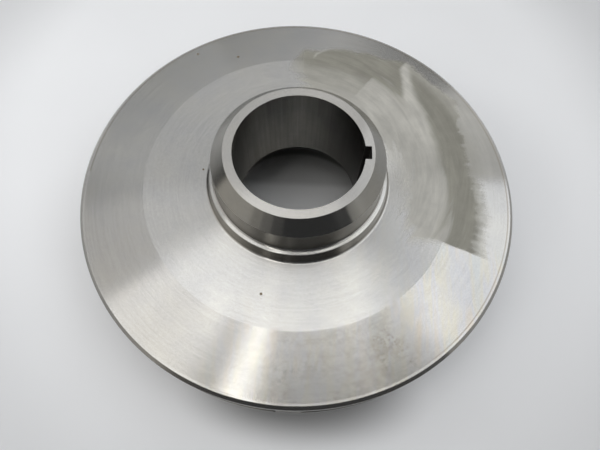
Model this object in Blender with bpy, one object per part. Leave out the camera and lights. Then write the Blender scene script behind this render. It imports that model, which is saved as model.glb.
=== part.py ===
"""Closed radial pump impeller in stainless steel, lying on its suction eye with the hub up.

Metres, +Z up along the shaft's axis. The origin is on the axis at the end face of the eye, where the part
stands. The keyway points along +X.
"""

import math

import bmesh
import bpy
from mathutils import Matrix

# The whole impeller
OUTER_RADIUS = 0.161
RIM_HEIGHT = 0.065  # of the back shroud's outer top edge
FACETS = 80  # round every turned piece
SEAT_GAP = 0.0003  # between pieces that touch

# Hub sleeve: bored, with a broad bevel round its end face and a slightly tapered wall, set in the back shroud
BORE_RADIUS = 0.045
BORE_CHAMFER = 0.0002
HUB_FACE_RADIUS = 0.0514
HUB_FACE_HEIGHT = RIM_HEIGHT + 0.0438
HUB_BEVEL = 0.0092  # at 45 degrees
HUB_FOOT_RADIUS = 0.0611
HUB_FOOT_HEIGHT = RIM_HEIGHT + 0.016
NOSE_RADIUS = 0.053
NOSE_HEIGHT = RIM_HEIGHT - 0.0219
KEYWAY_WIDTH = 0.010
KEYWAY_DEPTH = 0.0041

# Back shroud: a disc with a tapered boss round the hub, a level inner zone and a coned outer zone
COLLAR_HEIGHT = RIM_HEIGHT + 0.0158  # of the raised inner edge of the boss
BOSS_RADIUS = 0.0646
BOSS_HEIGHT = RIM_HEIGHT + 0.0138
BOSS_EDGE_BREAK = 0.0003
BOSS_FOOT_RADIUS = 0.0669
LEVEL_HEIGHT = RIM_HEIGHT + 0.0056
LEVEL_OUTER_RADIUS = 0.1138
LIP_INNER_RADIUS = 0.157
LIP_RISE = 0.0003
EDGE_RADIUS = 0.1582
EDGE_FOOT_HEIGHT = RIM_HEIGHT - 0.0028
BACK_WET_HEIGHT = RIM_HEIGHT - 0.013
BACK_TURN_RADIUS = 0.105  # outside it the wet face is level

# Front shroud: a bell from the rim down to the neck round the suction eye
FRONT_WET_RIM_HEIGHT = RIM_HEIGHT - 0.029
FRONT_WET_TURN_HEIGHT = 0.0345
FRONT_TURN_RADIUS = 0.126  # inside it the shroud curves down to the neck
THROAT_RADIUS = 0.076
THROAT_HEIGHT = 0.008
THROAT_CHAMFER = 0.0015
FRONT_RIM_THICKNESS = 0.007
NECK_RADIUS = 0.082
RIM_EDGE_BREAK = 0.0008

# Wear ring pressed over the neck, against the shroud's shoulder
RING_RADIUS = 0.088
SHOULDER_HEIGHT = 0.011
RING_CHAMFER = 0.001

# Vanes: log spirals of one angle, swept back against the turning, with a slanted leading edge
VANE_COUNT = 7
VANE_THICKNESS = 0.006
VANE_EDGE_THICKNESS = 0.0024
VANE_TAPER_LENGTH = 0.016
VANE_ANGLE = math.radians(22)
VANE_TIP_AZIMUTH = math.radians(-89.5)
VANE_BACK_START_RADIUS = 0.066
VANE_FRONT_START_RADIUS = 0.084
VANE_STATIONS = 22
VANE_SPACING_POWER = 1.5  # packs the stations towards the leading edge

TURNED_STEEL = ((0.56, 0.55, 0.53), 0.30)
BORED_STEEL = ((0.50, 0.49, 0.48), 0.38)
MILLED_STEEL = ((0.45, 0.44, 0.42), 0.45)
SHARP_ANGLE = math.radians(30)


def steel(name, colour, roughness):
    """A bare stainless steel: a metal of this colour and roughness."""
    material = bpy.data.materials.new(name)
    material.use_nodes = True
    shader = material.node_tree.nodes["Principled BSDF"]
    shader.inputs["Base Color"].default_value = (*colour, 1.0)
    shader.inputs["Metallic"].default_value = 1.0
    shader.inputs["Roughness"].default_value = roughness
    return material


def place(name, mesh_data, material):
    """Turn a bmesh into a named object of the scene, smooth but for its real corners."""
    bmesh.ops.recalc_face_normals(mesh_data, faces=mesh_data.faces)
    mesh = bpy.data.meshes.new(name)
    mesh_data.to_mesh(mesh)
    mesh_data.free()
    mesh.materials.append(material)
    mesh.shade_smooth()
    mesh.set_sharp_from_angle(angle=SHARP_ANGLE)
    piece = bpy.data.objects.new(name, mesh)
    bpy.context.scene.collection.objects.link(piece)
    return piece


def turned(name, outline, material):
    """Spin a closed outline of (radius, height) points once round the shaft's axis."""
    mesh_data = bmesh.new()
    points = [mesh_data.verts.new((radius, 0.0, height)) for radius, height in outline]
    edges = [mesh_data.edges.new((point, points[i - 1])) for i, point in enumerate(points)]
    bmesh.ops.spin(
        mesh_data,
        geom=points + edges,
        cent=(0, 0, 0),
        axis=(0, 0, 1),
        angle=2 * math.pi,
        steps=FACETS,
        use_merge=True,
    )
    return place(name, mesh_data, material)


def quarter_ellipse(start, end, steps):
    """Points from start, where the curve is upright, to end, where it is level. Both ends are included."""
    reach = end[0] - start[0]
    rise = end[1] - start[1]
    turns = [math.pi / 2 * step / steps for step in range(steps + 1)]
    return [(end[0] - reach * math.cos(turn), start[1] + rise * math.sin(turn)) for turn in turns]


def ellipse_height(radius, start, end):
    """Height at this radius of the curve that quarter_ellipse draws."""
    across = (end[0] - radius) / (end[0] - start[0])
    return start[1] + (end[1] - start[1]) * math.sqrt(1 - across**2)


def back_wet_height(radius):
    """The hub side of the water's way: out of the nose on a quarter ellipse, then level."""
    if radius >= BACK_TURN_RADIUS:
        return BACK_WET_HEIGHT
    return ellipse_height(radius, (NOSE_RADIUS, NOSE_HEIGHT), (BACK_TURN_RADIUS, BACK_WET_HEIGHT))


def front_wet_height(radius):
    """The eye side of the water's way: out of the throat on a quarter ellipse, then a slight cone to the rim."""
    if radius >= FRONT_TURN_RADIUS:
        share = (radius - FRONT_TURN_RADIUS) / (OUTER_RADIUS - FRONT_TURN_RADIUS)
        return FRONT_WET_TURN_HEIGHT + share * (FRONT_WET_RIM_HEIGHT - FRONT_WET_TURN_HEIGHT)
    return ellipse_height(
        radius, (THROAT_RADIUS, THROAT_HEIGHT), (FRONT_TURN_RADIUS, FRONT_WET_TURN_HEIGHT)
    )


def hub_sleeve(material):
    """The bored hub: end face, bevel, tapered wall, cylindrical foot in the boss, rounded nose and keyway."""
    nose = quarter_ellipse(
        (NOSE_RADIUS, NOSE_HEIGHT), (HUB_FOOT_RADIUS, back_wet_height(HUB_FOOT_RADIUS)), 4
    )
    outline = [
        (BORE_RADIUS + BORE_CHAMFER, HUB_FACE_HEIGHT),
        (HUB_FACE_RADIUS, HUB_FACE_HEIGHT),
        (HUB_FACE_RADIUS + HUB_BEVEL, HUB_FACE_HEIGHT - HUB_BEVEL),
        (HUB_FOOT_RADIUS, HUB_FOOT_HEIGHT),
        *reversed(nose),
        (BORE_RADIUS + BORE_CHAMFER, NOSE_HEIGHT),
        (BORE_RADIUS, NOSE_HEIGHT + BORE_CHAMFER),
        (BORE_RADIUS, HUB_FACE_HEIGHT - BORE_CHAMFER),
    ]
    hub = turned("hub_sleeve", outline, material)

    reach = BORE_RADIUS + KEYWAY_DEPTH
    overrun = 0.01
    height = HUB_FACE_HEIGHT - NOSE_HEIGHT + 2 * overrun
    slot = bmesh.new()
    bmesh.ops.create_cube(slot, size=1.0, matrix=Matrix.Diagonal((reach, KEYWAY_WIDTH, height, 1.0)))
    bmesh.ops.translate(slot, verts=slot.verts, vec=(reach / 2, 0, NOSE_HEIGHT - overrun + height / 2))
    cutter = place("keyway_cutter", slot, material)
    cutter.hide_render = True
    cutter.display_type = "WIRE"
    keyway = hub.modifiers.new("keyway", "BOOLEAN")
    keyway.operation = "DIFFERENCE"
    keyway.object = cutter


def back_shroud(material):
    """The disc on the hub side, with the collared boss that holds the hub, and the chamfered rim."""
    inner = HUB_FOOT_RADIUS + SEAT_GAP
    wet = [(OUTER_RADIUS, BACK_WET_HEIGHT)]
    steps = 8
    for step in range(steps + 1):
        turn = math.pi / 2 * step / steps
        radius = BACK_TURN_RADIUS - (BACK_TURN_RADIUS - inner) * math.sin(turn)
        wet.append((radius, back_wet_height(radius)))
    outline = [
        (inner, COLLAR_HEIGHT),
        (BOSS_RADIUS - BOSS_EDGE_BREAK, BOSS_HEIGHT),
        (BOSS_RADIUS, BOSS_HEIGHT - BOSS_EDGE_BREAK),
        (BOSS_FOOT_RADIUS, LEVEL_HEIGHT),
        (LEVEL_OUTER_RADIUS, LEVEL_HEIGHT),
        (LIP_INNER_RADIUS, RIM_HEIGHT + LIP_RISE),
        (EDGE_RADIUS, RIM_HEIGHT),
        (OUTER_RADIUS, EDGE_FOOT_HEIGHT),
        *wet,
    ]
    turned("back_shroud", outline, material)


def front_shroud(material):
    """The bell on the suction side, from the rim to the neck that carries the wear ring."""
    wet = quarter_ellipse(
        (THROAT_RADIUS, THROAT_HEIGHT), (FRONT_TURN_RADIUS, FRONT_WET_TURN_HEIGHT), 10
    )
    outer = quarter_ellipse(
        (RING_RADIUS, SHOULDER_HEIGHT), (FRONT_TURN_RADIUS, FRONT_WET_TURN_HEIGHT - FRONT_RIM_THICKNESS), 6
    )
    outline = [
        (OUTER_RADIUS, FRONT_WET_RIM_HEIGHT),
        (OUTER_RADIUS, FRONT_WET_RIM_HEIGHT - FRONT_RIM_THICKNESS + RIM_EDGE_BREAK),
        (OUTER_RADIUS - RIM_EDGE_BREAK, FRONT_WET_RIM_HEIGHT - FRONT_RIM_THICKNESS),
        *reversed(outer),
        (NECK_RADIUS, SHOULDER_HEIGHT),
        (NECK_RADIUS, 0.0),
        (THROAT_RADIUS + THROAT_CHAMFER, 0.0),
        (THROAT_RADIUS, THROAT_CHAMFER),
        *wet,
    ]
    turned("front_shroud", outline, material)


def wear_ring(material):
    """The ring over the neck that runs in the casing's own ring. The part rests on its end face."""
    inner = NECK_RADIUS + SEAT_GAP
    top = SHOULDER_HEIGHT - SEAT_GAP
    outline = [
        (inner, 0.0),
        (inner, top),
        (RING_RADIUS, top),
        (RING_RADIUS, RING_CHAMFER),
        (RING_RADIUS - RING_CHAMFER, 0.0),
    ]
    turned("eye_wear_ring", outline, material)


def vane_section(share, tip_azimuth):
    """The four corners of a vane at this share of its length, as (x, y, z), going round the section.

    The middle line is a log spiral, so an arc across the vane is its thickness over the sine of its angle.
    """
    corners = []
    for start, height_at, clear in (
        (VANE_FRONT_START_RADIUS, front_wet_height, SEAT_GAP),
        (VANE_BACK_START_RADIUS, back_wet_height, -SEAT_GAP),
    ):
        radius = start + (OUTER_RADIUS - start) * share**VANE_SPACING_POWER
        grown = math.sin(math.pi / 2 * min(1.0, (radius - start) / VANE_TAPER_LENGTH))
        thickness = VANE_EDGE_THICKNESS + (VANE_THICKNESS - VANE_EDGE_THICKNESS) * grown
        middle = tip_azimuth + math.log(OUTER_RADIUS / radius) / math.tan(VANE_ANGLE)
        half = thickness / (2 * radius * math.sin(VANE_ANGLE))
        height = height_at(radius) + clear
        pair = [
            (radius * math.cos(middle + side * half), radius * math.sin(middle + side * half), height)
            for side in (-1, 1)
        ]
        corners += pair if not corners else reversed(pair)
    return corners


def vane(name, tip_azimuth, material):
    """One backward-curved vane between the shrouds, its outer end flush with the rims."""
    mesh_data = bmesh.new()
    sections = [
        [mesh_data.verts.new(corner) for corner in vane_section(i / VANE_STATIONS, tip_azimuth)]
        for i in range(VANE_STATIONS + 1)
    ]
    for near, far in zip(sections, sections[1:]):
        for i in range(4):
            mesh_data.faces.new((near[i - 1], near[i], far[i], far[i - 1]))
    mesh_data.faces.new(sections[0])
    mesh_data.faces.new(reversed(sections[-1]))
    place(name, mesh_data, material)


for leftover in list(bpy.data.objects):
    bpy.data.objects.remove(leftover)

turned_steel = steel("turned_stainless_steel", *TURNED_STEEL)
bored_steel = steel("bored_stainless_steel", *BORED_STEEL)
milled_steel = steel("milled_stainless_steel", *MILLED_STEEL)

hub_sleeve(bored_steel)
back_shroud(turned_steel)
front_shroud(turned_steel)
wear_ring(bored_steel)
for index in range(VANE_COUNT):
    vane(f"vane_{index + 1}", VANE_TIP_AZIMUTH + index * 2 * math.pi / VANE_COUNT, milled_steel)
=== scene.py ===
"""Looks for a closed radial pump impeller in stainless steel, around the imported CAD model.

Metres, +Z up along the shaft's axis. The keyway points along +X, and the part stands on its suction eye.
"""

import math

import bmesh
import bpy
import numpy as np
from mathutils import Matrix, Vector


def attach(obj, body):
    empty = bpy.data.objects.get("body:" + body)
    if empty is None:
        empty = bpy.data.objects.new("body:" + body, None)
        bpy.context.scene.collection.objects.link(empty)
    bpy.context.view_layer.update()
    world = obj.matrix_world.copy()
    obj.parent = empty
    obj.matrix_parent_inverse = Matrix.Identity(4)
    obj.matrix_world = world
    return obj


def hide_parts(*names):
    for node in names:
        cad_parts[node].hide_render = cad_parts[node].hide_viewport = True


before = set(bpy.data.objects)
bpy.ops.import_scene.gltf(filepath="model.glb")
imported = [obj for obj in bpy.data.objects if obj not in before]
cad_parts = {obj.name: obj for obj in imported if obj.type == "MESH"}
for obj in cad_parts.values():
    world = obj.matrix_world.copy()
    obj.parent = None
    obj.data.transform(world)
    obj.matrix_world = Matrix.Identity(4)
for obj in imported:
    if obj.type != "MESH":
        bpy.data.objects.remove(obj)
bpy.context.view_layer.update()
scene = bpy.context.scene

# Camera
# It looks down steeply at the hub side from in front of the rim. The focal length is in pixels of a picture
# 600 pixels wide, and the whole camera is turned a little because the keyway isn't quite square to it.
IMAGE_WIDTH = 600.0
FOCAL_LENGTH = 470.0
SENSOR_WIDTH = 36.0
CAMERA_PLACE = (0.00296, -0.17551, 0.37488)
CAMERA_ELEVATION = math.radians(65.75)
CAMERA_ROLL = math.radians(2.474)
KEYWAY_TURN = math.radians(0.43)

lens = bpy.data.cameras.new("camera")
lens.sensor_width = SENSOR_WIDTH
lens.lens = FOCAL_LENGTH / IMAGE_WIDTH * SENSOR_WIDTH
lens.clip_start = 0.01
lens.clip_end = 100.0
camera = bpy.data.objects.new("camera", lens)
scene.collection.objects.link(camera)
level = Vector((1, 0, 0))
upward = Vector((0, math.sin(CAMERA_ELEVATION), math.cos(CAMERA_ELEVATION)))
backward = Vector((0, -math.cos(CAMERA_ELEVATION), math.sin(CAMERA_ELEVATION)))
across = math.cos(CAMERA_ROLL) * level + math.sin(CAMERA_ROLL) * upward
upright = -math.sin(CAMERA_ROLL) * level + math.cos(CAMERA_ROLL) * upward
axes = Matrix((across, upright, backward)).transposed().to_4x4()
camera.matrix_world = (
    Matrix.Rotation(KEYWAY_TURN, 4, "Z") @ Matrix.Translation(CAMERA_PLACE) @ axes
)
scene.camera = camera
scene.view_settings.view_transform = "Standard"

# Studio
# A pale table, dim air and soft lights far from the part, each a rectangle that faces it. The two tubes
# draw the bright fans on the disc. The low sky in front has only a faint glow, so there the bevel mirrors
# the dark front of the disc, and the rim's chamfer the dark air.
LIGHT_DISTANCE = 6.0
AIR_STRENGTH = 0.035
AIR_COLOUR = "#F0F2F6"
BACKDROP_STRENGTH = 0.78  # of the air where it is seen behind the table
# name: azimuth, elevation, turn in degrees, half width and height over the distance, radiance, colour
LIGHTS = {
    "overhead_bank": (106.4, 79.3, -14.3, 0.241, 0.185, 1.84, "#FDFEFF"),
    "right_overhead": (16.6, 75.7, -16.4, 0.104, 0.277, 1.26, "#FFFEFA"),
    "right_screen": (30.0, 59.6, -19.0, 0.219, 0.333, 0.84, "#F6FAFF"),
    "front_overhead": (-55.0, 75.0, 0.0, 0.170, 0.075, 0.65, "#FFFEFC"),
    "front_tube": (-98.0, 62.8, 0.0, 0.013, 0.195, 2.30, "#FFFDF9"),
    "front_left_tube": (-127.1, 70.0, 7.0, 0.031, 0.290, 4.48, "#FFFDF8"),
    "front_right_screen": (-37.0, 44.0, 0.0, 0.090, 0.290, 0.65, "#FFFEFC"),
    "front_glow": (-78.0, 22.0, 0.0, 1.100, 0.350, 0.035, "#E8ECF4"),
    "left_bank": (-176.2, 64.8, 30.5, 0.174, 0.196, 1.09, "#FFFDF9"),
    "left_screen": (176.6, 59.8, 20.4, 0.389, 0.576, 0.27, "#FFFFFF"),
    "left_wall": (-169.4, 22.8, 40.2, 0.413, 0.696, 0.22, "#FFFBF4"),
    "left_wall_second": (-164.4, 26.6, 40.2, 0.519, 0.696, 0.16, "#FFFBF4"),
    "left_wall_third": (-159.4, 30.4, 40.2, 0.636, 0.696, 0.13, "#FFFBF4"),
    "left_wall_fourth": (-154.0, 34.6, 40.2, 0.780, 0.696, 0.08, "#FFFBF4"),
    "right_wall": (14.9, 45.5, 7.0, 0.711, 0.372, 0.89, "#FAFCFF"),
    "low_right_wall": (12.0, 9.5, 0.0, 0.920, 0.270, 0.50, "#FFFDF8"),
    "back_wall": (104.8, 49.4, 18.9, 0.557, 0.355, 0.72, "#FBFDFF"),
    "low_back_wall": (128.0, 10.0, 0.0, 0.350, 0.130, 1.10, "#FBFDFF"),
}


def linear(hex_colour):
    """An sRGB hex colour as linear red, green, blue and full alpha."""
    channels = np.array([int(hex_colour[i : i + 2], 16) for i in (1, 3, 5)]) / 255
    curve = np.where(channels > 0.04045, ((channels + 0.055) / 1.055) ** 2.4, channels / 12.92)
    return (*curve.tolist(), 1.0)


def add_node(tree, kind, sockets=None, **settings):
    """Add one node. sockets gives each input, by name or number, a value or the output to link to it.

    A node in the place of an output stands for its first one.
    """
    made = tree.nodes.new(kind)
    for name, value in settings.items():
        setattr(made, name, value)
    for name, value in (sockets or {}).items():
        if isinstance(value, bpy.types.Node):
            value = value.outputs[0]
        if isinstance(value, bpy.types.NodeSocket):
            tree.links.new(value, made.inputs[name])
        else:
            made.inputs[name].default_value = value
    return made


def mask_of(tree, *parts):
    """Multiply parts into one mask. A part is a number, an output, a node or a soft step.

    A soft step (value, low, high, at_low, at_high) goes from at_low to at_high, or from 0 to 1 where these
    are left out, while its value goes from low to high, and both of its ends are eased.
    """
    mask = 1.0
    for part in parts:
        if isinstance(part, tuple):
            value, low, high, *ends = part
            at_low, at_high = ends or (0.0, 1.0)
            part = add_node(
                tree,
                "ShaderNodeMapRange",
                {"Value": value, "From Min": low, "From Max": high, "To Min": at_low, "To Max": at_high},
                interpolation_type="SMOOTHSTEP",
            )
        mask = add_node(tree, "ShaderNodeMath", {0: mask, 1: part}, operation="MULTIPLY")
    return mask


for name, (azimuth, elevation, turn, half_width, half_height, radiance, colour) in LIGHTS.items():
    lamp = bpy.data.lights.new(name, "AREA")
    lamp.shape = "RECTANGLE"
    lamp.size = 2 * half_width * LIGHT_DISTANCE
    lamp.size_y = 2 * half_height * LIGHT_DISTANCE
    lamp.energy = radiance * math.pi * lamp.size * lamp.size_y
    lamp.color = linear(colour)[:3]
    stand = bpy.data.objects.new(name, lamp)
    scene.collection.objects.link(stand)
    azimuth, elevation, turn = map(math.radians, (azimuth, elevation, turn))
    away = Vector(
        (
            math.cos(elevation) * math.cos(azimuth),
            math.cos(elevation) * math.sin(azimuth),
            math.sin(elevation),
        )
    )
    side = Vector((-math.sin(azimuth), math.cos(azimuth), 0))
    top = away.cross(side)
    width_axis = math.cos(turn) * side + math.sin(turn) * top
    height_axis = away.cross(width_axis)
    faced = Matrix((width_axis, height_axis, away)).transposed().to_4x4()
    stand.matrix_world = (
        Matrix.Rotation(KEYWAY_TURN, 4, "Z") @ Matrix.Translation(away * LIGHT_DISTANCE) @ faced
    )

air = bpy.data.worlds.new("studio_air")
air.use_nodes = True
seen = add_node(air.node_tree, "ShaderNodeLightPath").outputs["Is Camera Ray"]
strength = add_node(
    air.node_tree,
    "ShaderNodeMapRange",
    {"Value": seen, "To Min": AIR_STRENGTH, "To Max": BACKDROP_STRENGTH},
)
background = air.node_tree.nodes["Background"]
background.inputs["Color"].default_value = linear(AIR_COLOUR)
air.node_tree.links.new(strength.outputs[0], background.inputs["Strength"])
scene.world = air

# The table is matt white card, whose tone drifts by 2 percent over some 200 mm. The soft lights can't
# darken it enough beside the part, so the shade close in front of the rim, the fall of light towards the
# corners and the tones seen through the bore are painted into it.
FLOOR_COLOUR = "#F2F3F5"
FLOOR_SIZE = 14.0
FRONT_SHADE_MIDDLE = (0.012, -0.148, 0.0)
FRONT_SHADE_SQUEEZE = (1.0, 2.4, 1.0)
FRONT_SHADE = (0.03, 0.1, 0.44, 1.0)  # distances between which it ends, and the tones there
FALL_MIDDLE = (0.0, 0.11, 0.0)
FALL = (0.26, 0.37, 1.0, 0.78)  # distances between which the light falls, and the tones there
EYE_EDGE = (0.07, 0.08)  # distances from the axis between which the tones seen through the bore end
BEHIND_EDGE = (0.030, 0.038, 0.0, 0.22)
BESIDE_WALL = (0.064, 0.068, 0.0, 0.4)

table = bpy.data.materials.new("pale_table")
table.use_nodes = True
table_tree = table.node_tree
table_shader = table_tree.nodes["Principled BSDF"]
table_shader.inputs["Roughness"].default_value = 0.6
table_shader.inputs["Specular IOR Level"].default_value = 0.2
table_place = add_node(table_tree, "ShaderNodeTexCoord").outputs["Object"]
drift = add_node(table_tree, "ShaderNodeTexNoise", {"Vector": table_place, "Scale": 5.0, "Detail": 2.0})
drift = add_node(
    table_tree,
    "ShaderNodeMapRange",
    {"Value": drift, "From Min": 0.3, "From Max": 0.7, "To Min": 0.98, "To Max": 1.02},
)
from_front = add_node(
    table_tree, "ShaderNodeVectorMath", {0: table_place, 1: FRONT_SHADE_MIDDLE}, operation="SUBTRACT"
)
from_front = add_node(
    table_tree, "ShaderNodeVectorMath", {0: from_front, 1: FRONT_SHADE_SQUEEZE}, operation="MULTIPLY"
)
from_front = add_node(table_tree, "ShaderNodeVectorMath", {0: from_front}, operation="LENGTH")
from_middle = add_node(
    table_tree, "ShaderNodeVectorMath", {0: table_place, 1: FALL_MIDDLE}, operation="DISTANCE"
)
# Seen through the bore, the table is lit in front of a straight edge, and dark close to the eye's wall.
from_axis = add_node(table_tree, "ShaderNodeVectorMath", {0: table_place}, operation="LENGTH")
from_axis = from_axis.outputs["Value"]
in_eye = add_node(
    table_tree,
    "ShaderNodeMapRange",
    {"Value": from_axis, "From Min": EYE_EDGE[0], "From Max": EYE_EDGE[1], "To Min": 1.0, "To Max": 0.0},
)
backwards = add_node(table_tree, "ShaderNodeSeparateXYZ", {0: table_place}).outputs["Y"]
behind_edge = mask_of(table_tree, (backwards, *BEHIND_EDGE))
beside_wall = mask_of(table_tree, (from_axis, *BESIDE_WALL))
eye_shade = add_node(table_tree, "ShaderNodeMath", {0: behind_edge, 1: beside_wall}, operation="ADD")
eye_shade = mask_of(table_tree, eye_shade, in_eye)
eye_tone = add_node(table_tree, "ShaderNodeMath", {0: 1.0, 1: eye_shade}, operation="SUBTRACT")
tone = mask_of(
    table_tree,
    drift,
    (from_front.outputs["Value"], *FRONT_SHADE),
    (from_middle.outputs["Value"], *FALL),
    eye_tone,
)
card = add_node(
    table_tree, "ShaderNodeVectorMath", {0: linear(FLOOR_COLOUR)[:3], "Scale": tone}, operation="SCALE"
)
table_tree.links.new(card.outputs[0], table_shader.inputs["Base Color"])
half = FLOOR_SIZE / 2
floor_corners = [(-half, -half, 0), (half, -half, 0), (half, half, 0), (-half, half, 0)]
floor_mesh = bpy.data.meshes.new("floor")
floor_mesh.from_pydata(floor_corners, [], [(0, 1, 2, 3)])
floor_mesh.materials.append(table)
floor = bpy.data.objects.new("floor", floor_mesh)
scene.collection.objects.link(floor)

# One more light shines on the table alone, from the left. It leaves the shadow in front of the part.
TABLE_LIGHT_PLACE = Vector((-0.52, 0.03, 0.5))
TABLE_LIGHT_SIZE = 0.25
TABLE_LIGHT_POWER = 0.65
table_lamp = bpy.data.lights.new("table_light", "AREA")
table_lamp.size = TABLE_LIGHT_SIZE
table_lamp.energy = TABLE_LIGHT_POWER
table_stand = bpy.data.objects.new("table_light", table_lamp)
scene.collection.objects.link(table_stand)
table_stand.matrix_world = (
    Matrix.Translation(TABLE_LIGHT_PLACE) @ TABLE_LIGHT_PLACE.to_track_quat("Z", "Y").to_matrix().to_4x4()
)
lit_alone = bpy.data.collections.new("lit_by_table_light")
lit_alone.objects.link(floor)
table_stand.light_linking.receiver_collection = lit_alone
table_stand.visible_camera = False

# Hub sleeve
# A bored and keyed sleeve of stainless steel, turned all over: a faced end, a 45 degree bevel polished
# after turning, and a finely turned wall that widens a little downwards. It is pressed into the disc's
# boss, and its rounded nose ends in the suction eye.
BORE_RADIUS = 0.045
BORE_EDGE_BREAK = 0.0004
HUB_FACE_RADIUS = 0.0514
HUB_FACE_HEIGHT = 0.1088
HUB_BEVEL = 0.0092
HUB_FOOT_RADIUS = 0.0611
HUB_FOOT_HEIGHT = 0.081
NOSE_RADIUS = 0.053
NOSE_HEIGHT = 0.0431
BACK_TURN_RADIUS = 0.105
BACK_WET_HEIGHT = 0.052
KEYWAY_WIDTH = 0.010
KEYWAY_DEPTH = 0.0041
HUB_ROUND = 480  # steps round the hub
HUB_CREASE = math.radians(28)  # edges that turn by more than this are drawn sharp
HOLD = 0.0002  # width of the strips that keep a flat side flat beside a rounded corner
# How far the bore is opened, and the height, from the nose's edge break up to the end face's.
BORE_SIDE = (
    (0.0008, NOSE_HEIGHT),
    (0.0005, NOSE_HEIGHT),
    (0.0, NOSE_HEIGHT + 0.0005),
    (0.0, NOSE_HEIGHT + 0.001),
    (0.0, 0.076),
    (0.0, HUB_FACE_HEIGHT - 0.001),
    (0.0, HUB_FACE_HEIGHT - 0.0001),
    (0.0001, HUB_FACE_HEIGHT),
    (0.0004, HUB_FACE_HEIGHT),
)
MARK_STRETCHES = ((1.3, 0.0), (5.0, 40.0))  # waves of noise in a radian, and shift, of long and short arcs
CLOUDS_PER_METRE = 22.0
GRAINS_PER_METRE = 800.0


def quarter_ellipse(start, end, steps):
    """Points from start, where the curve is upright, to end, where it is level.

    With the turn t from 0 to a quarter, radius = end - reach * cos t and height = start + rise * sin t.
    """
    turns = np.linspace(0, math.pi / 2, steps + 1)
    return np.column_stack(
        (
            end[0] - (end[0] - start[0]) * np.cos(turns),
            start[1] + (end[1] - start[1]) * np.sin(turns),
        )
    )


def rounded(corners):
    """Round a closed outline of (radius, height, corner radius) rows.

    A corner's arc touches both sides at its radius over the tangent of half the corner's angle, and its
    points are the spherical mix of the two directions from the arc's centre. A point just outside each end
    of the arc keeps the sides flat. A corner with no radius stays one point.
    """
    corners = np.asarray(corners, float)
    place, bend = corners[:, :2], corners[:, 2:]
    before, after = np.roll(place, 1, 0) - place, np.roll(place, -1, 0) - place
    before_length = np.linalg.norm(before, axis=1, keepdims=True)
    after_length = np.linalg.norm(after, axis=1, keepdims=True)
    before, after = before / before_length, after / after_length
    half_angle = np.arccos(np.clip((before * after).sum(1, keepdims=True), -0.999999, 0.999999)) / 2
    reach = bend / np.tan(half_angle)
    middle = before + after
    middle /= np.maximum(np.linalg.norm(middle, axis=1, keepdims=True), 1e-9)
    centre = place + middle * bend / np.sin(half_angle)
    sweep = math.pi - 2 * half_angle
    share = np.linspace(0, 1, 6)[None, :, None]
    first, last = (place + before * reach - centre)[:, None], (place + after * reach - centre)[:, None]
    arc = (np.sin((1 - share) * sweep[:, None]) * first + np.sin(share * sweep[:, None]) * last) / np.sin(
        sweep[:, None]
    )
    arc += centre[:, None]
    hold_before = np.minimum(HOLD, 0.4 * (before_length - reach - np.roll(reach, 1, 0)))
    hold_after = np.minimum(HOLD, 0.4 * (after_length - reach - np.roll(reach, -1, 0)))
    points = np.concatenate(
        (
            (place + before * (reach + hold_before))[:, None],
            arc,
            (place + after * (reach + hold_after))[:, None],
        ),
        axis=1,
    )
    sharp = bend[:, 0] == 0
    points[sharp] = place[sharp][:, None]
    kept = np.ones(points.shape[:2], bool)
    kept[sharp, 1:] = False
    return points[kept]


def carried_round(outline, angle):
    """Carry the outline's points round the axis to each angle: (radius cos a, radius sin a, height)."""
    radius, height = outline[None, :, 0], outline[None, :, 1]
    return np.stack((radius * np.cos(angle), radius * np.sin(angle), height + 0 * angle), -1)


def bore_path(grow, share):
    """The bore with its keyway seen along the shaft, grown outwards all round by grow.

    share runs once round from the middle of the keyway: its first and last parts follow the keyway's floor
    and walls, and the part between them follows the circle.
    """
    radius = BORE_RADIUS + grow
    half_slot = KEYWAY_WIDTH / 2 + 0.5 * grow
    bottom = BORE_RADIUS + KEYWAY_DEPTH + 0.5 * grow
    meets = np.sqrt(radius**2 - half_slot**2)
    first = np.arcsin(half_slot / radius)
    floor_end, wall_end = 0.03, 0.06
    mirrored = np.where(share > 0.5, 1 - share, share)
    side = np.where(share > 0.5, -1.0, 1.0)
    on_floor = np.clip(mirrored / floor_end, 0, 1)
    on_wall = np.clip((mirrored - floor_end) / (wall_end - floor_end), 0, 1)
    on_circle = np.clip((mirrored - wall_end) / (0.5 - wall_end), 0, 1)
    angle = first + on_circle * (math.pi - first)
    x = np.where(mirrored <= wall_end, bottom + on_wall * (meets - bottom), radius * np.cos(angle))
    y = np.where(mirrored <= wall_end, on_floor * half_slot, radius * np.sin(angle))
    return x, side * y


def piece_from(name, points, faces, uv, materials):
    """Put points, four-sided faces and their UV corners into a smooth mesh object of the scene."""
    mesh = bpy.data.meshes.new(name)
    mesh.from_pydata(points, [], faces)
    layer = mesh.uv_layers.new(name="turning")
    layer.data.foreach_set("uv", np.ascontiguousarray(uv, np.float32).ravel())
    for material in materials:
        mesh.materials.append(material)
    mesh.shade_smooth()
    piece = bpy.data.objects.new(name, mesh)
    scene.collection.objects.link(piece)
    return piece


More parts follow.
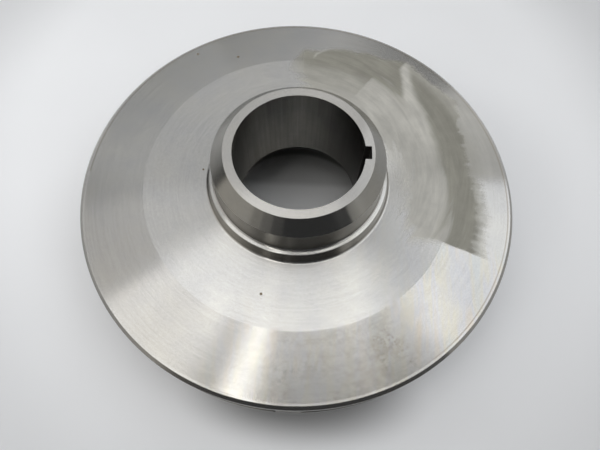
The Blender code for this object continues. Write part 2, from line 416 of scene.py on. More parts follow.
def closed_surface(name, grid, materials):
    """Make a piece from a grid of points (steps round the axis, points along the outline), closed both ways.

    Each cell is one four-sided face, and the surface is turned inside out if its volume comes out negative.
    The UV map holds the length along the outline in metres, and the share of the turn.
    """
    rounds, length = grid.shape[:2]
    i, j = np.meshgrid(np.arange(rounds), np.arange(length), indexing="ij")
    next_i, next_j = (i + 1) % rounds, (j + 1) % length
    here, there = i * length, next_i * length
    faces = np.stack((here + j, there + j, there + next_j, here + next_j), -1).reshape(-1, 4)
    ahead = np.linalg.norm(np.roll(grid[0], -1, 0) - grid[0], axis=1)
    along = np.concatenate(([0], np.cumsum(ahead)))
    turn = np.linspace(0, 1, rounds + 1)
    uv = np.stack(
        (
            np.stack((along[j], turn[i]), -1),
            np.stack((along[j], turn[i + 1]), -1),
            np.stack((along[j + 1], turn[i + 1]), -1),
            np.stack((along[j + 1], turn[i]), -1),
        ),
        -2,
    ).reshape(-1, 4, 2)
    points = grid.reshape(-1, 3)
    a, b, c, d = (points[faces[:, k]] for k in range(4))
    volume = (np.cross(b, c) * a).sum() + (np.cross(c, d) * a).sum()
    if volume < 0:
        faces, uv = faces[:, ::-1], uv[:, ::-1]
    return piece_from(name, points, faces, uv, materials)


def face_middles(piece):
    """The x, y and height of each face's middle, and its distance from the axis, sqrt(x^2 + y^2)."""
    middles = np.zeros(len(piece.data.polygons) * 3)
    piece.data.polygons.foreach_get("center", middles)
    x, y, height = middles.reshape(-1, 3).T
    return x, y, height, np.hypot(x, y)


def turned_steel(name, colours, roughness, grooving, mark_depth=0.07, mark_pitch=0.0012):
    """A bare stainless steel whose tool marks run round the axis.

    The real marks are 0.1 to 0.3 mm apart, too fine to draw, so anisotropy spreads the reflection along the
    outline. The few coarser ones are drawn mark_pitch apart, as long arcs of noise that change with the
    length along the outline, and slowly round the axis. Grain of 1.25 mm, also coarser than the real one,
    breaks up the tone. The colour drifts between a warm and a cool one over some 45 mm, and the roughness
    by 7 percent with it. Returns the material, and the values that further layers start from.
    """
    material = bpy.data.materials.new(name)
    material.use_nodes = True
    tree = material.node_tree
    shader = tree.nodes["Principled BSDF"]
    shader.inputs["Metallic"].default_value = 1.0
    shader.inputs["Anisotropic"].default_value = grooving
    tangent = add_node(tree, "ShaderNodeTangent", direction_type="UV_MAP", uv_map="turning")
    place = add_node(tree, "ShaderNodeTexCoord").outputs["Object"]
    length = add_node(tree, "ShaderNodeUVMap", uv_map="turning")
    length = add_node(tree, "ShaderNodeSeparateXYZ", {0: length})
    flat = add_node(tree, "ShaderNodeVectorMath", {0: place, 1: (1, 1, 0)}, operation="MULTIPLY")
    outward = add_node(tree, "ShaderNodeVectorMath", {0: flat}, operation="NORMALIZE")
    ring = add_node(tree, "ShaderNodeMath", {0: length, 1: 1 / mark_pitch}, operation="MULTIPLY")
    ring = add_node(tree, "ShaderNodeCombineXYZ", {"Z": ring})
    arcs = []
    for stretch, shift in MARK_STRETCHES:
        marks = add_node(tree, "ShaderNodeVectorMath", {0: outward, "Scale": stretch}, operation="SCALE")
        marks = add_node(tree, "ShaderNodeVectorMath", {0: marks, 1: ring}, operation="ADD")
        marks = add_node(tree, "ShaderNodeVectorMath", {0: marks, 1: (shift, 0, 0)}, operation="ADD")
        arcs.append(
            add_node(
                tree,
                "ShaderNodeTexNoise",
                {"Vector": marks, "Scale": 1.0, "Detail": 3.0, "Roughness": 0.6},
            )
        )
    marked = add_node(tree, "ShaderNodeMath", {0: arcs[0], 1: arcs[1]}, operation="ADD")
    marked = add_node(
        tree,
        "ShaderNodeMapRange",
        {"Value": marked, "From Min": 0.7, "From Max": 1.3, "To Min": 1 - mark_depth, "To Max": 1.0},
    )
    grain = add_node(
        tree, "ShaderNodeTexNoise", {"Vector": place, "Scale": GRAINS_PER_METRE, "Detail": 2.0}
    )
    grain = add_node(
        tree,
        "ShaderNodeMapRange",
        {"Value": grain, "From Min": 0.3, "From Max": 0.7, "To Min": 0.965, "To Max": 1.035},
    )
    marked = add_node(tree, "ShaderNodeMath", {0: marked, 1: grain}, operation="MULTIPLY")
    cloud = add_node(
        tree,
        "ShaderNodeTexNoise",
        {"Vector": place, "Scale": CLOUDS_PER_METRE, "Detail": 4.0, "Roughness": 0.6},
    )
    rough = add_node(
        tree,
        "ShaderNodeMapRange",
        {
            "Value": cloud,
            "From Min": 0.3,
            "From Max": 0.7,
            "To Min": roughness * 0.93,
            "To Max": roughness * 1.07,
        },
    )
    warm_to_cool = add_node(
        tree, "ShaderNodeMapRange", {"Value": cloud, "From Min": 0.35, "From Max": 0.65}
    )
    tone = add_node(
        tree,
        "ShaderNodeMix",
        {"Factor": warm_to_cool, "A": linear(colours[0]), "B": linear(colours[1])},
        data_type="RGBA",
    )
    steel = add_node(
        tree, "ShaderNodeVectorMath", {0: tone.outputs["Result"], "Scale": marked}, operation="SCALE"
    )
    bump = add_node(tree, "ShaderNodeBump", {"Height": arcs[1], "Strength": 0.25, "Distance": 0.00002})
    tree.links.new(tangent.outputs["Tangent"], shader.inputs["Tangent"])
    tree.links.new(steel.outputs[0], shader.inputs["Base Color"])
    tree.links.new(rough.outputs[0], shader.inputs["Roughness"])
    tree.links.new(bump.outputs[0], shader.inputs["Normal"])
    return material, {
        "tree": tree,
        "shader": shader,
        "place": place,
        "flat": flat,
        "outward": outward,
        "colour": steel,
        "rough": rough,
        "arcs": arcs,
    }


# The bevel is stainless steel polished over its turning: nearly a mirror, which smears along the outline.
polished_bevel, _ = turned_steel("polished_stainless_steel", ("#A2A09A", "#9C9B97"), 0.16, 0.80, 0.06)
# The wall is stainless steel turned with a fine feed: a satin band, a little darker than the bevel.
hub_wall, _ = turned_steel("fine_turned_stainless_steel", ("#94918A", "#8E8C87"), 0.30, 0.85, 0.06)
# The end is stainless steel faced on the lathe: the palest face, even and satin.
faced_ring, _ = turned_steel("faced_stainless_steel", ("#BEBBB5", "#B9B7B3"), 0.24, 0.93, 0.05)
# The keyway is broached stainless steel: rough, with no gloss, and dark with old oil.
broached_slot, _ = turned_steel("broached_stainless_steel", ("#6E6C67", "#62625F"), 0.45, 0.2, 0.2)

# The bore is bored stainless steel that oil and water have run down. That leaves upright streaks, 13 mm
# and 1.7 mm wide. The side towards the keyway is darkened with painted shade, for the dark that this side
# mirrors.
STREAKS = ((3.5, 0.14), (26.0, 0.10))  # waves in a radian, and depth
STREAK_WAVES_UPWARDS = 14.0  # to a metre, so a streak is some 70 mm long
bored_wall, bored = turned_steel("bored_stainless_steel", ("#9A978F", "#908F8B"), 0.25, 0.9, 0.12)
streak_tree = bored["tree"]
streak_height = add_node(
    streak_tree,
    "ShaderNodeVectorMath",
    {0: bored["place"], 1: (0, 0, STREAK_WAVES_UPWARDS)},
    operation="MULTIPLY",
)
streaked = bored["colour"]
for waves, depth in STREAKS:
    runs = add_node(
        streak_tree, "ShaderNodeVectorMath", {0: bored["outward"], "Scale": waves}, operation="SCALE"
    )
    runs = add_node(streak_tree, "ShaderNodeVectorMath", {0: runs, 1: streak_height}, operation="ADD")
    runs = add_node(streak_tree, "ShaderNodeTexNoise", {"Vector": runs, "Scale": 1.0, "Detail": 3.0})
    runs = add_node(
        streak_tree,
        "ShaderNodeMapRange",
        {"Value": runs, "From Min": 0.3, "From Max": 0.7, "To Min": 1 - depth, "To Max": 1 + depth},
    )
    streaked = add_node(
        streak_tree, "ShaderNodeVectorMath", {0: streaked, "Scale": runs}, operation="SCALE"
    )
# Painted shade: the bore's colour darkens to 35 percent towards the keyway's side.
towards_keyway = add_node(streak_tree, "ShaderNodeSeparateXYZ", {0: bored["outward"]})
painted_shade_by_keyway = mask_of(streak_tree, (towards_keyway, 0.0, 0.8, 1.0, 0.35))
streaked = add_node(
    streak_tree, "ShaderNodeVectorMath", {0: streaked, "Scale": painted_shade_by_keyway}, operation="SCALE"
)
streak_tree.links.new(streaked.outputs[0], bored["shader"].inputs["Base Color"])

hub_share = np.linspace(0, 1, HUB_ROUND, endpoint=False)[:, None]
hub_nose = quarter_ellipse((NOSE_RADIUS, NOSE_HEIGHT), (BACK_TURN_RADIUS, BACK_WET_HEIGHT), 60)
hub_nose = hub_nose[hub_nose[:, 0] < HUB_FOOT_RADIUS]
hub_outer = rounded(
    [
        (BORE_RADIUS + BORE_EDGE_BREAK, HUB_FACE_HEIGHT, 0),
        (HUB_FACE_RADIUS, HUB_FACE_HEIGHT, 0.0002),
        (HUB_FACE_RADIUS + HUB_BEVEL, HUB_FACE_HEIGHT - HUB_BEVEL, 0.0003),
        (HUB_FOOT_RADIUS, HUB_FOOT_HEIGHT, 0),
        (HUB_FOOT_RADIUS, hub_nose[-1, 1] + 0.0006, 0.0004),
        *[(radius, height, 0) for radius, height in hub_nose[:0:-1]],
        (NOSE_RADIUS, NOSE_HEIGHT, 0.0003),
        (BORE_RADIUS + BORE_EDGE_BREAK, NOSE_HEIGHT, 0),
    ]
)[1:-1]
bore_rings = [bore_path(grow, hub_share) for grow, height in BORE_SIDE]
bore_grid = np.stack(
    [
        np.concatenate((x, y, np.full_like(x, height)), 1)
        for (x, y), (grow, height) in zip(bore_rings, BORE_SIDE)
    ],
    1,
)
outer_angle = np.arctan2(bore_grid[:, 4, 1], bore_grid[:, 4, 0])[:, None]
hub = closed_surface(
    "hub_sleeve_turned",
    np.concatenate((carried_round(hub_outer, outer_angle), bore_grid), 1),
    [polished_bevel, faced_ring, bored_wall, broached_slot, hub_wall],
)
# Each face's finish is its place in the list above.
x, y, height, reach = face_middles(hub)
on_end = height > HUB_FACE_HEIGHT - HOLD
in_bore = ~on_end & (reach < HUB_FACE_RADIUS - 0.001)
in_slot = in_bore & (x > BORE_RADIUS - HOLD) & (abs(y) < KEYWAY_WIDTH / 2 + HOLD)
on_wall = ~on_end & ~in_bore & (height < HUB_FACE_HEIGHT - HUB_BEVEL)
hub_finish = np.select((on_end, in_slot, in_bore, on_wall), (1, 3, 2, 4), 0)
hub.data.polygons.foreach_set("material_index", hub_finish.astype(np.int32))
hub.data.set_sharp_from_angle(angle=HUB_CREASE)
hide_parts("hub_sleeve")
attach(hub, "root")

# Back shroud
# The disc on the hub side, turned from one stainless steel forging: a low boss with a hollow ledge and a
# fillet at its foot, a level inner zone, a slightly coned outer zone, a thin lip and a chamfered rim.
COLLAR_HEIGHT = 0.0808
BOSS_RADIUS = 0.0646
BOSS_HEIGHT = 0.0788
BOSS_FOOT_RADIUS = 0.0669
BOSS_FILLET = 0.0018
LEDGE_END = (0.0634, 0.0791)
LEVEL_HEIGHT = 0.0706
LEVEL_OUTER_RADIUS = 0.1138
LIP_INNER_RADIUS = 0.1571
LIP_HEIGHT = 0.0653
EDGE_RADIUS = 0.1587
OUTER_RADIUS = 0.161
EDGE_FOOT_HEIGHT = 0.0631
SEAT_GAP = 0.0003
SEAM = 0.00005  # round the hub, too tight to see into
CREASE = math.radians(35)
FULL_TURN = np.linspace(0, 2 * math.pi, 360, endpoint=False)[:, None]

# The disc is finish turned stainless steel, whose fine grooves spread each light into a fan from the axis.
turned_disc, disc = turned_steel("turned_stainless_steel", ("#BCBAB5", "#B6B5B3"), 0.21, 0.97)
# The boss's side and the rim are turned with a coarse feed: glossy, with marks that show as rings.
side_steel, _ = turned_steel("rough_turned_stainless_steel", ("#A8A59F", "#A1A09C"), 0.15, 0.9, 0.12)
# The water's way is milled stainless steel, dulled by water: darker, and with no direction to be seen.
milled_passage, _ = turned_steel("milled_stainless_steel", ("#7E7A70", "#70706B"), 0.42, 0.3, 0.2)

# A film of oil and scale dried on the disc at the right and the back, and was partly wiped off again. It
# hides the metal, so it looks matt and olive grey from every side. Its edges are (azimuth in degrees,
# radius in mm), and the steps in the masks below are in the same units.
EDGE_AZIMUTHS = (-60.0, 120.0)
EDGE_REACH = 160.0
FILM_OUTER_EDGE = (
    (-33, 96), (-31, 100), (-27, 106), (-25, 114.5), (-23.8, 115), (-22.9, 145), (-8, 143), (0, 139.5),
    (9, 135.5), (17, 136.5), (25, 138), (28, 147), (34, 151), (45, 148), (53, 150), (55, 149), (62, 141.5),
    (69, 138), (79, 134), (84, 128), (90, 128.5), (94, 118), (97, 109), (99, 84),
)
FILM_INNER_EDGE = (
    (-33, 96), (-29, 91.5), (-25, 87), (-20, 80), (-13, 76.5), (0, 76), (12, 75), (21, 72), (40, 66),
    (78, 66), (94, 96), (99, 108),
)
FILM_THICK_EDGE = (
    (-30, 114), (-5, 113.5), (3, 111), (8, 104), (15, 108), (19, 103), (25, 104), (28, 110), (38, 114),
    (46, 114), (48, 113), (60, 113), (62, 88), (97, 84),
)
# Two strokes wiped it thin: each one's line, half width in mm, first and last azimuth, and strength.
FILM_STROKES = (
    (((5, 99), (10, 102), (28, 109), (38, 114), (44, 121), (48.6, 130), (53.5, 142), (58, 149)),
     10.0, 8.0, 55.0, 1.0),
    (((78, 138), (80, 134), (82, 130), (84, 126), (87, 119)), 3.2, 80.0, 87.0, 0.55),
)
FILM_THIN_COLOUR = "#BEBCB5"
FILM_THICK_COLOUR = "#929086"
FILM_ROUGHNESS = 0.5
FILM_COVER = 0.88  # how much of the metal's gloss it hides
# A breath of oil tints the front: (share of the noise, colour).
OIL_TINTS = ((0.34, "#FFF9F2"), (0.46, "#F9FAFF"), (0.56, "#FFFCF3"), (0.66, "#F8FBFC"))
# Brown oxide sits in a few pits, given as (azimuth, radius, size in mm), in the grooves of the front, and
# in the corner of the lip.
OXIDE_COLOUR = "#75664F"
PITS = ((-102.7, 92.3, 1.2), (177.5, 71.0, 1.0), (116.0, 129.0, 1.6), (127.5, 150.5, 1.4))
LIP_CORNER = 156.9
GROOVE_OXIDE, CORNER_OXIDE, SQUIGGLE_OXIDE = 0.13, 0.4, 0.6  # how thick it is in each place

tree, shader = disc["tree"], disc["shader"]
flat_place = add_node(tree, "ShaderNodeSeparateXYZ", {0: disc["flat"]}).outputs
azimuth = add_node(
    tree, "ShaderNodeMath", {0: flat_place["Y"], 1: flat_place["X"]}, operation="ARCTAN2"
)
azimuth = add_node(tree, "ShaderNodeMath", {0: azimuth, 1: 180 / math.pi}, operation="MULTIPLY")
radius = add_node(tree, "ShaderNodeVectorMath", {0: disc["flat"]}, operation="LENGTH").outputs["Value"]
radius = add_node(tree, "ShaderNodeMath", {0: radius, 1: 1000.0}, operation="MULTIPLY")

# Blotches of 18 mm and frays of 5 mm lie on the disc. Fingers stand 1 degree apart. Smears, 6 mm across
# and 24 degrees long, follow the turning and drift outwards by a millimetre in three degrees.
blotch = add_node(
    tree, "ShaderNodeTexNoise", {"Vector": disc["place"], "Scale": 55.0, "Detail": 7.0, "Roughness": 0.62}
)
frayed = add_node(
    tree, "ShaderNodeTexNoise", {"Vector": disc["place"], "Scale": 210.0, "Detail": 4.0, "Roughness": 0.7}
)
fingers = add_node(tree, "ShaderNodeVectorMath", {0: disc["outward"], "Scale": 60.0}, operation="SCALE")
fingers = add_node(tree, "ShaderNodeTexNoise", {"Vector": fingers, "Scale": 1.0, "Detail": 3.0})
slant = add_node(tree, "ShaderNodeMath", {0: azimuth, 1: -0.33, 2: radius}, operation="MULTIPLY_ADD")
slant = add_node(tree, "ShaderNodeMath", {0: slant, 1: 0.16}, operation="MULTIPLY")
slant = add_node(tree, "ShaderNodeCombineXYZ", {"Z": slant})
smears = add_node(tree, "ShaderNodeVectorMath", {0: disc["outward"], "Scale": 2.4}, operation="SCALE")
smears = add_node(tree, "ShaderNodeVectorMath", {0: smears, 1: slant}, operation="ADD")
smears = add_node(
    tree,
    "ShaderNodeTexNoise",
    {"Vector": smears, "Scale": 1.0, "Detail": 4.0, "Roughness": 0.55, "Distortion": 0.5},
)

# An edge wanders by the sum of some noises, each with its reach in mm from one extreme to the other.
finger_length = mask_of(tree, (azimuth, 15.0, 30.0, 9.0, 2.0))
wander = {}
for name, noises in {
    "blotched": ((blotch, 12.0),),
    "fringed": ((blotch, 12.0), (frayed, 5.0), (fingers, finger_length)),
    "smeared": ((blotch, 12.0), (smears, 34.0)),
}.items():
    wander[name] = 0.0
    for noise, noise_reach in noises:
        centred = add_node(tree, "ShaderNodeMath", {0: noise, 1: 0.5}, operation="SUBTRACT")
        wander[name] = add_node(
            tree,
            "ShaderNodeMath",
            {0: centred, 1: noise_reach, 2: wander[name]},
            operation="MULTIPLY_ADD",
        )


def beyond(edge, wandering):
    """How many millimetres a place lies outside a drawn edge that wanders by so many millimetres."""
    first, last = EDGE_AZIMUTHS
    share = add_node(tree, "ShaderNodeMapRange", {"Value": azimuth, "From Min": first, "From Max": last})
    line = add_node(tree, "ShaderNodeFloatCurve", {"Value": share})
    curve = line.mapping.curves[0]
    for index, (degrees, millimetres) in enumerate(edge):
        spot = ((degrees - first) / (last - first), millimetres / EDGE_REACH)
        if index < 2:
            curve.points[index].location = spot
        else:
            curve.points.new(*spot)
    for point in curve.points:
        point.handle_type = "VECTOR"
    line.mapping.extend = "HORIZONTAL"
    line.mapping.update()
    outside = add_node(
        tree, "ShaderNodeMath", {0: line, 1: -EDGE_REACH, 2: radius}, operation="MULTIPLY_ADD"
    )
    return add_node(tree, "ShaderNodeMath", {0: outside, 1: wandering}, operation="ADD")


outer_softness = mask_of(tree, (azimuth, -4.0, 22.0, -13.0, -4.0))
film = mask_of(
    tree,
    (beyond(FILM_OUTER_EDGE, wander["fringed"]), outer_softness, 3.0, 1.0, 0.0),
    (beyond(FILM_INNER_EDGE, wander["smeared"]), -7.0, 11.0),
    (azimuth, -34.0, -31.0),
    (azimuth, 88.0, 101.0, 1.0, 0.0),
)
veil = mask_of(
    tree,
    (azimuth, 1.0, 6.0),
    (azimuth, 28.0, 44.0, 1.0, 0.35),
    (azimuth, 50.0, 75.0, 0.62, 0.0),
    (radius, 128.0, 134.0),
)
film = add_node(tree, "ShaderNodeMath", {0: film, 1: veil}, operation="MAXIMUM")
wiped = 0.0
for line, width, start, end, strength in FILM_STROKES:
    aside = add_node(tree, "ShaderNodeMath", {0: beyond(line, wander["blotched"])}, operation="ABSOLUTE")
    stroke = mask_of(
        tree,
        (aside, 0.15 * width, width, 1.0, 0.0),
        (azimuth, start, start + 0.3 * (end - start)),
        (azimuth, end - 1.5, end, 1.0, 0.0),
        strength,
    )
    wiped = add_node(tree, "ShaderNodeMath", {0: stroke, 1: wiped}, operation="MAXIMUM")
left_on = add_node(tree, "ShaderNodeMath", {0: 1.0, 1: wiped}, operation="SUBTRACT")
thinner_outside = mask_of(tree, (radius, 134.0, 147.0, 1.0, 0.5))
at_the_back = mask_of(tree, (azimuth, 53.0, 55.0))
full_width = add_node(tree, "ShaderNodeMath", {0: thinner_outside, 1: at_the_back}, operation="MAXIMUM")
thick = mask_of(
    tree,
    (beyond(FILM_THICK_EDGE, wander["smeared"]), -6.0, 5.0),
    (radius, 100.0, 116.0, 0.4, 1.0),
    full_width,
    left_on,
)

stained = add_node(tree, "ShaderNodeMath", {0: blotch, 1: frayed}, operation="ADD")
in_grooves = mask_of(
    tree,
    (stained, 0.92, 1.2),
    (azimuth, -100.0, -92.0),
    (azimuth, -60.0, -50.0, 1.0, 0.0),
    (radius, 113.0, 118.0),
    GROOVE_OXIDE,
)
from_corner = add_node(tree, "ShaderNodeMath", {0: radius, 1: LIP_CORNER}, operation="SUBTRACT")
from_corner = add_node(tree, "ShaderNodeMath", {0: from_corner}, operation="ABSOLUTE")
in_corner = mask_of(tree, (from_corner, 0.15, 0.8, 1.0, 0.0), (azimuth, -60.0, -45.0), CORNER_OXIDE)
# A thin squiggle of it runs where the frays' noise crosses its middle value.
squiggle = add_node(tree, "ShaderNodeMath", {0: frayed, 1: 0.5}, operation="SUBTRACT")
squiggle = add_node(tree, "ShaderNodeMath", {0: squiggle}, operation="ABSOLUTE")
squiggle = mask_of(
    tree,
    (squiggle, 0.006, 0.018, 1.0, 0.0),
    (blotch, 0.50, 0.56),
    (azimuth, -68.0, -64.0),
    (azimuth, -57.0, -52.0, 1.0, 0.0),
    (radius, 122.0, 127.0),
    SQUIGGLE_OXIDE,
)
pits = 0.0
for degrees, millimetres, size in PITS:
    angle = math.radians(degrees)
    spot = (millimetres / 1000 * math.cos(angle), millimetres / 1000 * math.sin(angle), 0.0)
    away = add_node(tree, "ShaderNodeVectorMath", {0: disc["flat"], 1: spot}, operation="DISTANCE")
    pit = mask_of(tree, (away.outputs["Value"], size * 0.0004, size * 0.0010, 1.0, 0.0))
    pits = add_node(tree, "ShaderNodeMath", {0: pit, 1: pits}, operation="MAXIMUM")
oxide = pits
for mark in (in_grooves, in_corner, squiggle):
    oxide = add_node(tree, "ShaderNodeMath", {0: oxide, 1: mark}, operation="MAXIMUM")
matt = add_node(tree, "ShaderNodeMath", {0: film, 1: pits}, operation="MAXIMUM")

film_colour = add_node(
    tree,
    "ShaderNodeMix",
    {"Factor": thick, "A": linear(FILM_THIN_COLOUR), "B": linear(FILM_THICK_COLOUR)},
    data_type="RGBA",
).outputs["Result"]
film_tone = mask_of(
    tree,
    (blotch, 0.3, 0.7, 0.92, 1.08),
    (smears, 0.3, 0.7, 0.90, 1.09),
    (disc["arcs"][1], 0.3, 0.7, 0.97, 1.03),
    (wiped, 0.0, 1.0, 1.0, 1.08),
)
film_colour = add_node(tree, "ShaderNodeVectorMath", {0: film_colour, "Scale": film_tone}, operation="SCALE")
# The oil's colours change over 11 mm from left to right and over 70 mm from front to back.
oil = add_node(tree, "ShaderNodeVectorMath", {0: disc["place"], 1: (2.0, 0.3, 1.0)}, operation="MULTIPLY")
oil = add_node(tree, "ShaderNodeTexNoise", {"Vector": oil, "Scale": 45.0, "Detail": 3.0})
oil = add_node(tree, "ShaderNodeValToRGB", {"Fac": oil})
for index, (share, tint) in enumerate(OIL_TINTS):
    stop = oil.color_ramp.elements[index] if index < 2 else oil.color_ramp.elements.new(share)
    stop.position = share
    stop.color = linear(tint)
oiled = mask_of(
    tree,
    (azimuth, -114.0, -108.0, 0.0, 0.5),
    (azimuth, -60.0, -52.0, 1.0, 2.0),
    (azimuth, -24.0, -16.0, 1.0, 0.0),
    (radius, 110.0, 116.0, 0.2, 1.0),
)
disc_colour = add_node(
    tree,
    "ShaderNodeMix",
    {"Factor": oiled, "A": disc["colour"], "B": oil},
    data_type="RGBA",
    blend_type="MULTIPLY",
).outputs["Result"]
for cover, paint in ((film, film_colour), (oxide, linear(OXIDE_COLOUR))):
    disc_colour = add_node(
        tree, "ShaderNodeMix", {"Factor": cover, "A": disc_colour, "B": paint}, data_type="RGBA"
    ).outputs["Result"]
covered = mask_of(tree, (matt, 0.85, 1.0))
rough = add_node(tree, "ShaderNodeMix", {"Factor": covered, "A": disc["rough"], "B": FILM_ROUGHNESS})
metal = add_node(tree, "ShaderNodeMath", {0: matt, 1: -FILM_COVER, 2: 1.0}, operation="MULTIPLY_ADD")
tree.links.new(disc_colour, shader.inputs["Base Color"])
tree.links.new(rough.outputs["Result"], shader.inputs["Roughness"])
tree.links.new(metal.outputs[0], shader.inputs["Metallic"])

back_wet = quarter_ellipse((NOSE_RADIUS, NOSE_HEIGHT), (BACK_TURN_RADIUS, BACK_WET_HEIGHT), 40)
back_wet = back_wet[back_wet[:, 0] > HUB_FOOT_RADIUS + SEAT_GAP + 0.0004]
ledge = quarter_ellipse((HUB_FOOT_RADIUS - 0.0003, COLLAR_HEIGHT + 0.0006), LEDGE_END, 14)
ledge = ledge[ledge[:, 0] > HUB_FOOT_RADIUS + SEAM]
shroud_outline = rounded(
    [
        *[(radius, height, 0) for radius, height in ledge],
        (BOSS_RADIUS, BOSS_HEIGHT, 0.0003),
        (BOSS_FOOT_RADIUS, LEVEL_HEIGHT, BOSS_FILLET),
        (LEVEL_OUTER_RADIUS, LEVEL_HEIGHT, 0.002),
        (LIP_INNER_RADIUS, LIP_HEIGHT, 0.0002),
        (EDGE_RADIUS, LIP_HEIGHT - 0.0001, 0.0004),
        (OUTER_RADIUS, EDGE_FOOT_HEIGHT, 0.0003),
        (OUTER_RADIUS, BACK_WET_HEIGHT, 0.0004),
        *[(radius, height, 0) for radius, height in back_wet[::-1]],
        (ledge[0, 0], back_wet[0, 1] - 0.0004, 0),
    ]
)
shroud = closed_surface(
    "back_shroud_turned",
    carried_round(shroud_outline, FULL_TURN),
    [turned_disc, milled_passage, side_steel],
)
x, y, height, reach = face_middles(shroud)
wet = (height < BACK_WET_HEIGHT + 0.0003) & (reach < OUTER_RADIUS - 0.0002)
on_boss = (height > LEVEL_HEIGHT + 0.0009) & (height < BOSS_HEIGHT - 0.0002)
on_rim = (reach > EDGE_RADIUS + 0.0002) & (height > BACK_WET_HEIGHT + 0.0003)
shroud_finish = np.select((wet, on_boss | on_rim), (1, 2), 0)
shroud.data.polygons.foreach_set("material_index", shroud_finish.astype(np.int32))
shroud.data.set_sharp_from_angle(angle=CREASE)
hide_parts("back_shroud")
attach(shroud, "root")

# Vanes
# Seven backward-curved vanes milled between the shrouds and brazed to them, each a log spiral with a slanted
# leading edge and a small fillet along both shrouds. Their outer ends are flush with the rims.
FRONT_WET_RIM_HEIGHT = 0.036
FRONT_WET_TURN_HEIGHT = 0.0345
FRONT_TURN_RADIUS = 0.126
THROAT_RADIUS = 0.076
THROAT_HEIGHT = 0.008
VANE_COUNT = 7
VANE_THICKNESS = 0.006
VANE_EDGE_THICKNESS = 0.0024
VANE_TAPER_LENGTH = 0.016
VANE_ANGLE = math.radians(22)
VANE_TIP_AZIMUTH = math.radians(-89.5)
VANE_BACK_START_RADIUS = 0.066
VANE_FRONT_START_RADIUS = 0.084
VANE_FILLET = 0.0015
VANE_NOSE_LENGTH = 0.0008


def ellipse_height(radius, start, end):
    """Height at this radius of the curve that quarter_ellipse draws."""
    across = np.clip((end[0] - radius) / (end[0] - start[0]), 0, 1)
    return start[1] + (end[1] - start[1]) * np.sqrt(1 - across**2)


def back_wet_height(radius):
    """The hub side of the water's way: a quarter ellipse out of the nose, then level."""
    return ellipse_height(radius, (NOSE_RADIUS, NOSE_HEIGHT), (BACK_TURN_RADIUS, BACK_WET_HEIGHT))


def front_wet_height(radius):
    """The eye side of the water's way: a quarter ellipse from the throat, then a slight cone to the rim."""
    bell = ellipse_height(radius, (THROAT_RADIUS, THROAT_HEIGHT), (FRONT_TURN_RADIUS, FRONT_WET_TURN_HEIGHT))
    share = np.clip((radius - FRONT_TURN_RADIUS) / (OUTER_RADIUS - FRONT_TURN_RADIUS), 0, 1)
    return bell + share * (FRONT_WET_RIM_HEIGHT - FRONT_WET_TURN_HEIGHT)


def vane_edge(share, start, height_at, side, extra):
    """Points of one side of a vane where it meets a shroud, from the leading edge (share 0) to the rim (1).

    The azimuth is the tip's, plus ln(rim / radius) / tan(angle), plus side * thickness over
    2 * radius * sin(angle). The thickness grows by a sine over the taper, and by a quarter circle at the
    rounded nose.
    """
    radius = start + (OUTER_RADIUS - start) * share**2
    inside = radius - start
    grown = np.sin(math.pi / 2 * np.clip(inside / VANE_TAPER_LENGTH, 0, 1))
    nose = np.sqrt(1 - (1 - np.clip(inside / VANE_NOSE_LENGTH, 0, 1)) ** 2)
    thickness = nose * (VANE_EDGE_THICKNESS + (VANE_THICKNESS - VANE_EDGE_THICKNESS) * grown + 2 * extra)
    azimuth = np.log(OUTER_RADIUS / radius) / math.tan(VANE_ANGLE)
    azimuth = azimuth + side * thickness / (2 * radius * math.sin(VANE_ANGLE))
    height = height_at(radius) + 0 * azimuth
    return np.stack((radius * np.cos(azimuth), radius * np.sin(azimuth), height), -1)


def vane_grid():
    """The vane's sections from leading edge to rim, each a closed loop up one side and down the other.

    A point at height share h lies on the straight line from the front shroud's edge to the back shroud's.
    Beside a shroud the thickness grows by fillet * (1 - sqrt(1 - (1 - distance / fillet)^2)) on each side.
    """
    share = np.linspace(0, 1, 61)[:, None]
    depth = BACK_WET_HEIGHT - FRONT_WET_RIM_HEIGHT
    near = np.linspace(0, 1, 6) ** 1.5 * VANE_FILLET / depth
    between = np.linspace(VANE_FILLET / depth, 1 - VANE_FILLET / depth, 7)[1:-1]
    height = np.concatenate((near, between, 1 - near[::-1]))
    clear = np.minimum(height, 1 - height) * depth
    extra = VANE_FILLET * (1 - np.sqrt(1 - np.clip(1 - clear / VANE_FILLET, 0, 1) ** 2))
    sides = []
    for side in (-1, 1):
        low = vane_edge(share, VANE_FRONT_START_RADIUS, front_wet_height, side, extra[None, :])
        high = vane_edge(share, VANE_BACK_START_RADIUS, back_wet_height, side, extra[None, :])
        sides.append(low + (high - low) * height[None, :, None])
    return np.concatenate((sides[0], sides[1][:, ::-1]), 1)


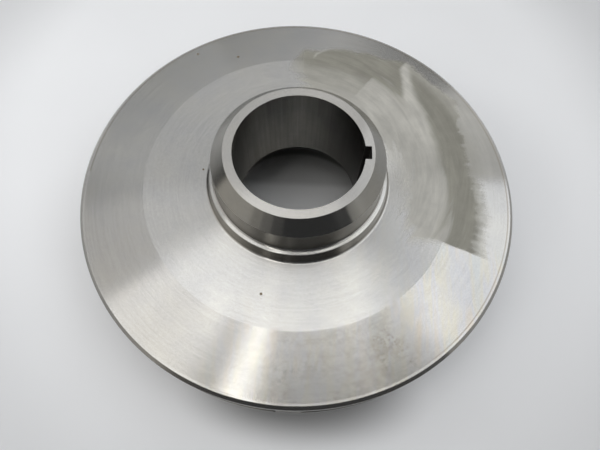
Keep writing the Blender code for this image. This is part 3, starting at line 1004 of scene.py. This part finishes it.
section = vane_grid()
stations, loop = section.shape[:2]
i, j = np.meshgrid(np.arange(stations - 1), np.arange(loop), indexing="ij")
after_j = (j + 1) % loop
vane_faces = np.stack((i * loop + j, (i + 1) * loop + j, (i + 1) * loop + after_j, i * loop + after_j), -1)
k = np.arange(loop // 2 - 1)
last = (stations - 1) * loop
end_faces = np.stack((last + k, last + k + 1, last + loop - 2 - k, last + loop - 1 - k), -1)
vane_faces = np.concatenate((vane_faces.reshape(-1, 4), end_faces))
x, y, z = section[..., 0], section[..., 1], section[..., 2]
for index in range(VANE_COUNT):
    turn = VANE_TIP_AZIMUTH + index * 2 * math.pi / VANE_COUNT
    placed = (x * math.cos(turn) - y * math.sin(turn), x * math.sin(turn) + y * math.cos(turn), z)
    placed = np.stack(placed, -1).reshape(-1, 3)
    uv = np.stack((placed[vane_faces][..., 2], np.zeros(vane_faces.shape)), -1)
    vane = piece_from(f"vane_{index + 1}_milled", placed, vane_faces, uv, [milled_passage])
    # The two sides meet at the nose, so their points are merged, and the faces turned outwards.
    merged = bmesh.new()
    merged.from_mesh(vane.data)
    bmesh.ops.remove_doubles(merged, verts=merged.verts, dist=1e-7)
    bmesh.ops.recalc_face_normals(merged, faces=merged.faces)
    merged.to_mesh(vane.data)
    merged.free()
    vane.data.set_sharp_from_angle(angle=CREASE)
    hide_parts(f"vane_{index + 1}")
    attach(vane, "root")

# Front shroud
# The bell on the suction side, turned from stainless steel: an outlet rim, the lower wall of the water's
# way and the neck round the suction eye, with a shoulder that the wear ring is pressed against.
FRONT_RIM_THICKNESS = 0.007
NECK_RADIUS = 0.082
THROAT_CHAMFER = 0.0015
RING_RADIUS = 0.088
SHOULDER_HEIGHT = 0.011

# The bell is rough turned stainless steel: greyer than the disc, and duller, with rings that show.
turned_bell, _ = turned_steel("turned_steel_of_the_bell", ("#ADABA6", "#A4A4A3"), 0.26, 0.93, 0.1)
bell_wet = quarter_ellipse((THROAT_RADIUS, THROAT_HEIGHT), (FRONT_TURN_RADIUS, FRONT_WET_TURN_HEIGHT), 40)
bell_outer = quarter_ellipse(
    (RING_RADIUS, SHOULDER_HEIGHT), (FRONT_TURN_RADIUS, FRONT_WET_TURN_HEIGHT - FRONT_RIM_THICKNESS), 40
)
bell_outline = rounded(
    [
        (OUTER_RADIUS, FRONT_WET_RIM_HEIGHT, 0.0003),
        (OUTER_RADIUS, FRONT_WET_RIM_HEIGHT - FRONT_RIM_THICKNESS, 0.0008),
        *[(radius, height, 0) for radius, height in bell_outer[::-1]],
        (NECK_RADIUS, SHOULDER_HEIGHT, 0),
        (NECK_RADIUS, 0.0, 0.0003),
        (THROAT_RADIUS, 0.0, THROAT_CHAMFER),
        *[(radius, height, 0) for radius, height in bell_wet],
    ]
)
bell = closed_surface(
    "front_shroud_turned", carried_round(bell_outline, FULL_TURN), [turned_bell, milled_passage]
)
x, y, height, reach = face_middles(bell)
wet = (abs(height - front_wet_height(reach)) < 0.0002) & (reach < OUTER_RADIUS - 0.0002)
bell.data.polygons.foreach_set("material_index", wet.astype(np.int32))
bell.data.set_sharp_from_angle(angle=CREASE)
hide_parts("front_shroud")
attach(bell, "root")

# Wear ring
# A plain ring of stainless steel pressed over the neck. Its outside is ground to run in the casing's own
# ring, and the part stands on its end face.
RING_CHAMFER = 0.001

# The ring shares the hub's faced steel, as ground steel is as pale and even.
ring_outline = rounded(
    [
        (NECK_RADIUS + SEAT_GAP, 0.0, 0.0002),
        (NECK_RADIUS + SEAT_GAP, SHOULDER_HEIGHT - SEAT_GAP, 0.0002),
        (RING_RADIUS, SHOULDER_HEIGHT - SEAT_GAP, 0.0003),
        (RING_RADIUS, RING_CHAMFER, 0.0002),
        (RING_RADIUS - RING_CHAMFER, 0.0, 0.0002),
    ]
)
ring = closed_surface("eye_wear_ring_ground", carried_round(ring_outline, FULL_TURN), [faced_ring])
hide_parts("eye_wear_ring")
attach(ring, "root")
